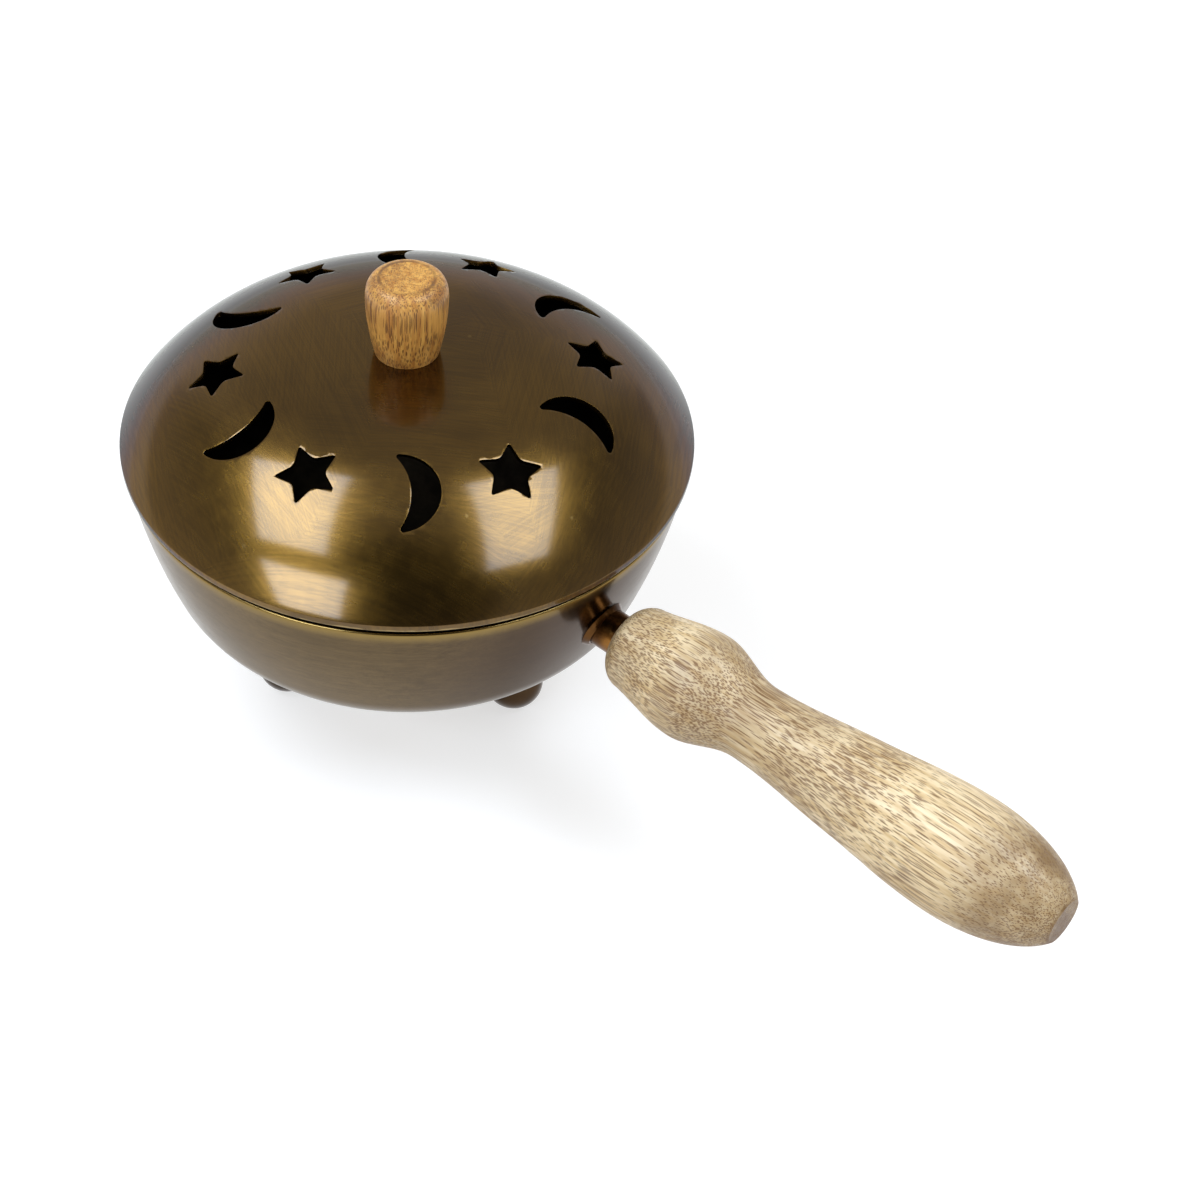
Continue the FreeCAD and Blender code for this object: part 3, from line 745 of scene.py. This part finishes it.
@dataclass
class Lid:
    """Pierced dome with its seat ring, knob, washer and screw. Lengths are in millimetres."""

    radius: float = 60.0
    sheet: float = 1.0
    edge: float = 62.6
    height: float = 21.75
    skirt: float = 1.4
    crown_radius: float = 360.0
    crown_reach: float = 23.5
    brow_radius: float = 0.5
    edge_round: float = 0.3
    screw_hole: float = 1.8
    hole_ring: float = 38.9
    first_crescent: float = -41.9
    crescent_strays: tuple[float, ...] = (-0.5, 1.0, -1.5, -1.0, 0.5, 0.5)
    star_strays: tuple[float, ...] = (-2.5, 0.5, 0.5, 0.0, 0.0, -3.5)
    star_points: int = 5
    star_radius: float = 6.9
    star_notch: float = 3.5
    star_twist: float = 7.5
    star_round: float = 0.8
    crescent_length: float = 17.0
    crescent_back: float = 9.0
    crescent_width: float = 5.9
    crescent_steps: tuple[int, int] = (30, 24)
    crescent_weld: float = 0.005
    tip_radius: float = 0.6
    tip_steps: int = 6
    hole_round: float = 0.16
    punch_reach: float = 6.0
    smoke_start: float = 1.0
    under_normal: float = -0.05
    crown_steps: tuple[int, int] = (12, 6)
    shoulder_steps: tuple[int, int] = (44, 30)
    brow_steps: int = 5
    edge_steps: int = 4
    sides: int = 256
    shoulder_centre: Pair = field(init=False)
    shoulder_radius: float = field(init=False)
    turn: float = field(init=False)

    def __post_init__(self) -> None:
        """Find the shoulder arc that joins the crown to the top of the skirt."""
        top = self.edge + self.height
        self.turn = math.acos(self.crown_reach / self.crown_radius)
        out = Vector((math.cos(self.turn), math.sin(self.turn)))
        start = Vector((0.0, top - self.crown_radius)) + out * self.crown_radius
        run = Vector((self.radius, self.edge + self.skirt)) - start
        self.shoulder_radius = -run.length_squared / (2.0 * run.dot(out))
        self.shoulder_centre = tuple(start - out * self.shoulder_radius)

    def dome(self) -> bmesh.types.BMesh:
        """Spun dome with a rounded brow, an upright skirt and a screw hole."""
        top = self.edge + self.height
        crown = (0.0, top - self.crown_radius)
        first = math.asin(self.screw_hole / self.crown_radius)
        crown_turn = 90.0 - math.degrees(self.turn + first)
        brow_reach = self.radius - self.brow_radius
        brow_rise = math.sqrt(
            (self.shoulder_radius - self.brow_radius) ** 2 - (brow_reach - self.shoulder_centre[0]) ** 2
        )
        brow = (brow_reach, self.shoulder_centre[1] + brow_rise)
        brow_turn = math.degrees(math.atan2(brow_rise, brow_reach - self.shoulder_centre[0]))
        shoulder_turn = math.degrees(self.turn) - brow_turn
        inside = self.radius - self.sheet
        inner_radius = self.shoulder_radius - self.sheet
        inner_end = math.degrees(math.acos((inside - self.shoulder_centre[0]) / inner_radius))
        inner_turn = math.degrees(self.turn) - inner_end
        inner_rise = self.shoulder_centre[1] + inner_radius * math.sin(math.radians(inner_end))
        pen = Pen(self.screw_hole, crown[1] + self.crown_radius * math.cos(first))
        pen.arc(crown, crown_turn, self.crown_steps[0])
        pen.arc(self.shoulder_centre, shoulder_turn, self.shoulder_steps[0])
        pen.arc(brow, brow_turn, self.brow_steps)
        pen.line(self.radius, self.edge + self.edge_round)
        pen.arc((self.radius - self.edge_round, self.edge + self.edge_round), 90.0, self.edge_steps)
        pen.line(inside + self.edge_round, self.edge)
        pen.arc((inside + self.edge_round, self.edge + self.edge_round), 90.0, self.edge_steps)
        pen.line(inside, inner_rise)
        pen.arc(self.shoulder_centre, -inner_turn, self.shoulder_steps[1])
        pen.arc(crown, -crown_turn, self.crown_steps[1])
        pen.close()
        return pen.turn(self.sides)

    def star(self) -> bmesh.types.BMesh:
        """Five-pointed star face at the origin, one point near +X."""
        bm = bmesh.new()
        bmesh.ops.create_circle(
            bm, cap_ends=True, radius=self.star_radius * MM, segments=2 * self.star_points
        )
        twist = Matrix.Rotation(math.radians(self.star_twist - 90.0), 3, "Z")
        bmesh.ops.rotate(bm, verts=bm.verts[:], matrix=twist)
        notches = [vert for index, vert in enumerate(bm.verts) if index % 2]
        share = self.star_notch / self.star_radius
        bmesh.ops.scale(bm, verts=notches, vec=(share, share, 1.0))
        bmesh.ops.bevel(
            bm, geom=bm.verts[:], offset=self.star_round * MM, affect="VERTICES", segments=4, profile=0.5,
            material=-1, offset_type="OFFSET", clamp_overlap=True,
        )
        return bm

    def crescent(self) -> bmesh.types.BMesh:
        """Crescent face with rounded tips, its back towards +Y, about its own middle."""
        half = self.crescent_length / 2.0
        rises = (self.crescent_back, self.crescent_back - self.crescent_width)
        bows = [(half ** 2 + rise ** 2) / (2.0 * rise) for rise in rises]
        middles = [rise - bow for rise, bow in zip(rises, bows)]
        reaches = (bows[0] - self.tip_radius, bows[1] + self.tip_radius)
        squares = reaches[0] ** 2 - reaches[1] ** 2 + middles[1] ** 2 - middles[0] ** 2
        tip_y = squares / (2.0 * (middles[1] - middles[0]))
        tip_x = math.sqrt(reaches[0] ** 2 - (tip_y - middles[0]) ** 2)
        leans = [math.atan2(tip_x, tip_y - middle) for middle in middles]
        bm = bmesh.new()
        out = Vector((-math.sin(leans[0]), math.cos(leans[0]), 0.0))
        start = Vector((-tip_x, tip_y, 0.0)) + out * self.tip_radius
        tip = bm.verts.new(start * MM)
        blunt = leans[0] - leans[1] - math.pi
        for centre, angle, steps in (
            ((0.0, middles[0]), -2.0 * leans[0], self.crescent_steps[0]),
            ((tip_x, tip_y), blunt, self.tip_steps),
            ((0.0, middles[1]), 2.0 * leans[1], self.crescent_steps[1]),
            ((-tip_x, tip_y), blunt, self.tip_steps),
        ):
            made = bmesh.ops.spin(
                bm, geom=[tip], cent=Vector((*centre, 0.0)) * MM, axis=UP, dvec=(0.0, 0.0, 0.0),
                angle=angle, steps=steps, use_duplicate=False,
            )
            tip = next(item for item in made["geom_last"] if isinstance(item, bmesh.types.BMVert))
        bmesh.ops.remove_doubles(bm, verts=bm.verts[:], dist=self.crescent_weld * MM)
        bmesh.ops.contextual_create(bm, geom=bm.edges[:])
        bm.faces.ensure_lookup_table()
        bmesh.ops.translate(bm, verts=bm.verts[:], vec=-bm.faces[0].calc_center_median_weighted())
        return bm

    def punch(self, bm: bmesh.types.BMesh, degrees: float) -> bmesh.types.BMesh:
        """Make a face a prism through the sheet and set it square to the dome on the hole ring.

        Args:
            bm: Shape with one face at the origin, changed in place.
            degrees: Place on the hole ring, from the handle.

        Returns:
            The prism, its faces marked as cut metal, whose brighter finish also paints the holes' edge
            highlights.
        """
        lean = math.acos((self.hole_ring - self.shoulder_centre[0]) / self.shoulder_radius)
        rise = self.shoulder_centre[1] + self.shoulder_radius * math.sin(lean)
        reach = self.punch_reach * self.sheet * MM
        made = bmesh.ops.extrude_face_region(bm, geom=bm.faces[:])
        moved = [item for item in made["geom"] if isinstance(item, bmesh.types.BMVert)]
        bmesh.ops.translate(bm, verts=moved, vec=(0.0, 0.0, 2.0 * reach))
        bmesh.ops.translate(bm, verts=bm.verts[:], vec=(0.0, 0.0, -reach))
        bmesh.ops.recalc_face_normals(bm, faces=bm.faces[:])
        for face in bm.faces:
            face.material_index = LidFace.CUT_AND_HIGHLIGHT
        tilt = Matrix.Rotation(math.pi / 2.0 - lean, 4, "Y")
        seat = Matrix.Translation((self.hole_ring * MM, 0.0, rise * MM)) @ tilt
        place = Matrix.Translation(POT_AXIS) @ Matrix.Rotation(math.radians(degrees), 4, "Z") @ seat
        bmesh.ops.transform(bm, matrix=place, verts=bm.verts[:])
        return bm

    def punches(self) -> bpy.types.Object:
        """All smoke-hole prisms as one object."""
        whole = bmesh.new()
        pitch = 360.0 / len(self.star_strays)
        for index, (crescent_stray, star_stray) in enumerate(zip(self.crescent_strays, self.star_strays)):
            angle = self.first_crescent + index * pitch
            for bm in (
                self.punch(self.crescent(), angle + crescent_stray),
                self.punch(self.star(), angle + pitch / 2.0 + star_stray),
            ):
                part = bpy.data.meshes.new("punch")
                bm.to_mesh(part)
                bm.free()
                whole.from_mesh(part)
                bpy.data.meshes.remove(part)
        return as_object(whole, "punches")

    def build(self) -> bpy.types.Object:
        """Spin the dome and cut the smoke holes through it.

        Returns:
            The pierced dome.
        """
        dome = as_object(self.dome(), "pierced_dome")
        punches = self.punches()
        for piece in (dome, punches):
            for finish in (LID_BRASS, CUT_BRASS_AND_HIGHLIGHT):
                piece.data.materials.append(finish.material())
        cut = dome.modifiers.new("smoke_holes", "BOOLEAN")
        cut.operation = "DIFFERENCE"
        cut.solver = "EXACT"
        cut.object = punches
        graph = bpy.context.evaluated_depsgraph_get()
        bm = bmesh.new()
        bm.from_object(dome, graph)
        fixed_order(bm)
        self.round_holes(bm)
        self.smoke(bm)
        soften(bm)
        dome.modifiers.clear()
        bm.to_mesh(dome.data)
        bm.free()
        bpy.data.objects.remove(punches)
        dome.data.materials.clear()
        return dome

    def round_holes(self, bm: bmesh.types.BMesh) -> None:
        """Take the sharpness off the outer edges of the smoke holes, and give the rounding the brighter cut
        metal as a painted highlight.
        """
        verts = list(dict.fromkeys(vert for edge in self.hole_rims(bm) for vert in edge.verts))
        bmesh.ops.remove_doubles(bm, verts=verts, dist=self.hole_round * MM)
        outer = [
            edge for edge in self.hole_rims(bm)
            if any(face.material_index == LidFace.SPUN and face.normal.z > 0.0 for face in edge.link_faces)
        ]
        bmesh.ops.bevel(
            bm, geom=outer, offset=self.hole_round * MM, affect="EDGES", segments=2, profile=0.5,
            material=LidFace.CUT_AND_HIGHLIGHT, offset_type="OFFSET", clamp_overlap=True, loop_slide=False,
        )

    @staticmethod
    def hole_rims(bm: bmesh.types.BMesh) -> list[bmesh.types.BMEdge]:
        """Edges between spun and cut metal."""
        return [edge for edge in bm.edges if len({face.material_index for face in edge.link_faces}) == 2]

    def smoke(self, bm: bmesh.types.BMesh) -> None:
        """Mark the faces under the dome as smoked."""
        start = (self.edge + self.smoke_start) * MM
        for face in bm.faces:
            under = face.normal.z < self.under_normal and face.calc_center_median().z > start
            if under and face.material_index == LidFace.SPUN:
                face.material_index = LidFace.SMOKED

    def dress(self) -> None:
        """Put the dome in place of its node and finish the lid's other pieces."""
        finish_piece(self.build(), [LID_BRASS, CUT_BRASS_AND_HIGHLIGHT, SMOKED], Body.LID, "lid_dome")
        dress_node("lid_seat_ring", SMOKED)
        dress_node("lid_knob", KNOB_WOOD)
        dress_node("lid_knob_washer", STEEL)
        dress_node("lid_knob_screw", STEEL)


@dataclass
class Bowl:
    """Spun bowl with a flared wall and a flat base, on ball feet. Lengths are in millimetres."""

    lip_height: float = 60.9
    lip_radius: float = 59.0
    sheet: float = 1.2
    flare: float = 9.0
    bows: tuple[Pair, ...] = ((147.0, 10.3), (15.0, 25.7), (48.0, 45.0))
    steps: tuple[int, ...] = (30, 16, 24)
    lip_steps: int = 12
    bare_lip: float = 2.4
    level_normal: float = 0.99
    sides: int = 256
    feet: int = 3

    def build(self) -> bpy.types.Object:
        """Draw the wall from the lip to the base and back inside, and spin it.

        Returns:
            The bowl.
        """
        lip = Vector((self.lip_radius - self.sheet / 2.0, self.lip_height - self.sheet / 2.0))
        angle = -math.radians(self.flare)
        out = Vector((math.cos(angle), math.sin(angle)))
        point = lip + out * self.sheet / 2.0
        start = lip - out * self.sheet / 2.0
        pen = Pen(*start)
        pen.arc(tuple(lip), 180.0, self.lip_steps)
        centres = []
        for (radius, sweep), steps in zip(self.bows, self.steps):
            out = Vector((math.cos(angle), math.sin(angle)))
            centre = point - out * radius
            centres.append(tuple(centre))
            pen.arc(tuple(centre), sweep, steps)
            angle -= math.radians(sweep)
            point = centre + Vector((math.cos(angle), math.sin(angle))) * radius
        pen.line(0.0, point.y)
        pen.line(0.0, point.y + self.sheet)
        pen.line(point.x, point.y + self.sheet)
        for centre, (_, sweep), steps in zip(centres[::-1], self.bows[::-1], self.steps[::-1]):
            pen.arc(centre, -sweep, steps)
        bm = pen.turn(self.sides)
        for face in bm.faces:
            middle = face.calc_center_median() - POT_AXIS
            inward = face.normal.x * middle.x + face.normal.y * middle.y < 0.0
            inside = inward or face.normal.z > self.level_normal
            if inside and middle.z < (self.lip_height - self.bare_lip) * MM:
                face.material_index = BowlFace.SMOKED
        soften(bm)
        return as_object(bm, "spun_bowl")

    def dress(self) -> None:
        """Put the bowl in place of its node and finish the feet."""
        finish_piece(self.build(), [BOWL_BRASS, SMOKED], Body.BASE, "bowl")
        for index in range(self.feet):
            dress_node(f"foot_{index + 1}", FOOT_BRASS)


@dataclass
class Handle:
    """Brass tube with its braze bead and the turned wooden grip."""

    finishes: tuple[tuple[str, Finish], ...] = (
        ("handle_tube", TUBE_BRASS),
        ("handle_braze_bead", BRAZE),
        ("handle_grip", GRIP_WOOD),
    )

    def dress(self) -> None:
        """Finish the handle's pieces."""
        for name, finish in self.finishes:
            dress_node(name, finish)


def direction(azimuth: float, elevation: float) -> Vector:
    """Unit vector towards an azimuth, from the handle anticlockwise, and an elevation, in degrees."""
    turn, lift = math.radians(azimuth), math.radians(elevation)
    return Vector((math.cos(lift) * math.cos(turn), math.cos(lift) * math.sin(turn), math.sin(lift)))


@dataclass(frozen=True)
class Panel:
    """Level light panel hung over the pot, placed as the camera sees it. Lengths are in metres."""

    name: str
    forward: float
    right: float
    length: float
    width: float
    yaw: float
    watts: float
    height: float = 0.9
    colour: Colour = (0.9, 1.02, 1.22)

    def hang(self, target: Vector, azimuth: float) -> None:
        """Add the panel to the scene.

        Args:
            target: Point that the panel hangs over.
            azimuth: Direction of the camera, from the handle anticlockwise, in degrees.
        """
        data = bpy.data.lights.new(self.name, "AREA")
        data.shape = "RECTANGLE"
        data.size = self.length
        data.size_y = self.width
        data.energy = self.watts
        data.color = self.colour
        lamp = bpy.data.objects.new(self.name, data)
        bpy.context.scene.collection.objects.link(lamp)
        forward, right = direction(azimuth, 0.0), direction(azimuth + 90.0, 0.0)
        lamp.location = target + UP * self.height + forward * self.forward + right * self.right
        lamp.rotation_euler = (0.0, 0.0, math.radians(azimuth + self.yaw))
        lamp.visible_camera = False


@dataclass
class Studio:
    """Pale floor, soft light and the camera. Lengths are in metres."""

    view_azimuth: float = -45.597
    view_elevation: float = 43.656
    view_distance: float = 0.510
    aim_height: float = 13.94 * MM
    lens: float = 68.09
    sensor: float = 36.0
    shift: float = 0.1609
    floor_size: float = 6.0
    floor_colour: Colour = (0.52, 0.5, 0.47)
    glow_reach: Pair = (0.8, 1.8)
    glow_levels: Pair = (0.6, 1.0)
    sky_colour: Colour = (1.06, 1.0, 0.88)
    seen_colour: Colour = (1.0, 1.0, 1.0)
    overhead_lift: Pair = (0.06, 0.75)
    overhead_level: float = 0.38
    dim_elevation: float = 42.0
    dim_cone: Pair = (0.72, 0.96)
    dim_level: float = 0.13
    flank_reach: Pair = (0.45, 0.75)
    flank_lift: Pair = (0.08, 0.2)
    flank_level: float = 0.5
    panel_datum: float = 70.0 * MM
    panels: tuple[Panel, ...] = (
        Panel("left_panel", forward=0.08, right=-0.55, length=0.7, width=0.5, yaw=-22.0, watts=8.0),
        Panel("right_panel", forward=0.2, right=0.575, length=0.81, width=0.47, yaw=21.0, watts=7.3),
        Panel("left_front_panel", forward=1.05, right=-0.87, length=0.85, width=0.7, yaw=-22.0, watts=14.5),
    )

    def floor(self) -> None:
        """Pale matt floor that takes the object's shadow and looks white."""
        bm = bmesh.new()
        bmesh.ops.create_grid(bm, x_segments=1, y_segments=1, size=self.floor_size / 2.0)
        floor = as_object(bm, "floor")
        material = bpy.data.materials.new("pale_floor")
        sheet = Sheet.blank(material)
        matt = sheet.add("ShaderNodeBsdfDiffuse", {"Color": rgba(self.floor_colour)})
        path = sheet.add("ShaderNodeLightPath")
        seen = sheet.math("ADD", path.outputs["Is Camera Ray"], path.outputs["Is Glossy Ray"])
        seen = sheet.math("ADD", seen, path.outputs["Is Transmission Ray"], clamp=True)
        reach = sheet.vector("LENGTH", sheet.add("ShaderNodeTexCoord").outputs["Object"])
        level = sheet.ramp(reach, *self.glow_reach, *self.glow_levels)
        glow = sheet.add("ShaderNodeEmission", {"Strength": sheet.math("MULTIPLY", seen, level)})
        both = sheet.add("ShaderNodeAddShader", {0: matt.outputs[0], 1: glow.outputs[0]})
        sheet.add("ShaderNodeOutputMaterial", {"Surface": both.outputs[0]})
        floor.data.materials.append(material)

    def sky(self) -> None:
        """White surroundings that light less from overhead, from behind the camera and from the sides."""
        world = bpy.data.worlds.new("soft_surroundings")
        bpy.context.scene.world = world
        sheet = Sheet.blank(world)
        way = sheet.add("ShaderNodeTexCoord").outputs["Generated"]
        lift = sheet.add("ShaderNodeSeparateXYZ", {0: way}).outputs[2]
        level = sheet.ramp(lift, *self.overhead_lift, 1.0, self.overhead_level)
        behind = sheet.vector("DOT_PRODUCT", way, direction(self.view_azimuth, self.dim_elevation))
        level = sheet.math("MULTIPLY", level, sheet.ramp(behind, *self.dim_cone, 1.0, self.dim_level))
        aside = sheet.vector("DOT_PRODUCT", way, direction(self.view_azimuth + 90.0, 0.0))
        aside = sheet.ramp(sheet.math("ABSOLUTE", aside), *self.flank_reach)
        flank = sheet.math("MULTIPLY", aside, sheet.ramp(lift, *self.flank_lift))
        level = sheet.math("MULTIPLY", level, sheet.ramp(flank, 0.0, 1.0, 1.0, self.flank_level))
        seen = sheet.add("ShaderNodeLightPath").outputs["Is Camera Ray"]
        colour = sheet.mix(seen, self.sky_colour, self.seen_colour)
        strength = sheet.math("MAXIMUM", level, seen)
        back = sheet.add("ShaderNodeBackground", {"Color": colour, "Strength": strength})
        sheet.add("ShaderNodeOutputWorld", {"Surface": back.outputs[0]})

    def camera(self) -> None:
        """Camera at the photograph's angle and framing."""
        data = bpy.data.cameras.new("camera")
        data.lens = self.lens
        data.sensor_width = self.sensor
        data.shift_x = self.shift
        camera = bpy.data.objects.new("camera", data)
        bpy.context.scene.collection.objects.link(camera)
        way = direction(self.view_azimuth, self.view_elevation)
        camera.location = POT_AXIS + UP * self.aim_height + way * self.view_distance
        camera.rotation_euler = way.to_track_quat("Z", "Y").to_euler()
        bpy.context.scene.camera = camera

    def build(self) -> None:
        """Set the stage."""
        self.floor()
        self.sky()
        for panel in self.panels:
            panel.hang(POT_AXIS + UP * self.panel_datum, self.view_azimuth)
        self.camera()
        bpy.context.scene.view_settings.view_transform = "Standard"


def main() -> None:
    """Build the burner's assemblies and the studio round it."""
    logging.basicConfig(level=logging.INFO, format="%(name)s %(message)s")
    for assembly in (Lid(), Bowl(), Handle()):
        assembly.dress()
        LOG.info("%s done", type(assembly).__name__)
    Studio().build()


if __name__ == "__main__":
    main()
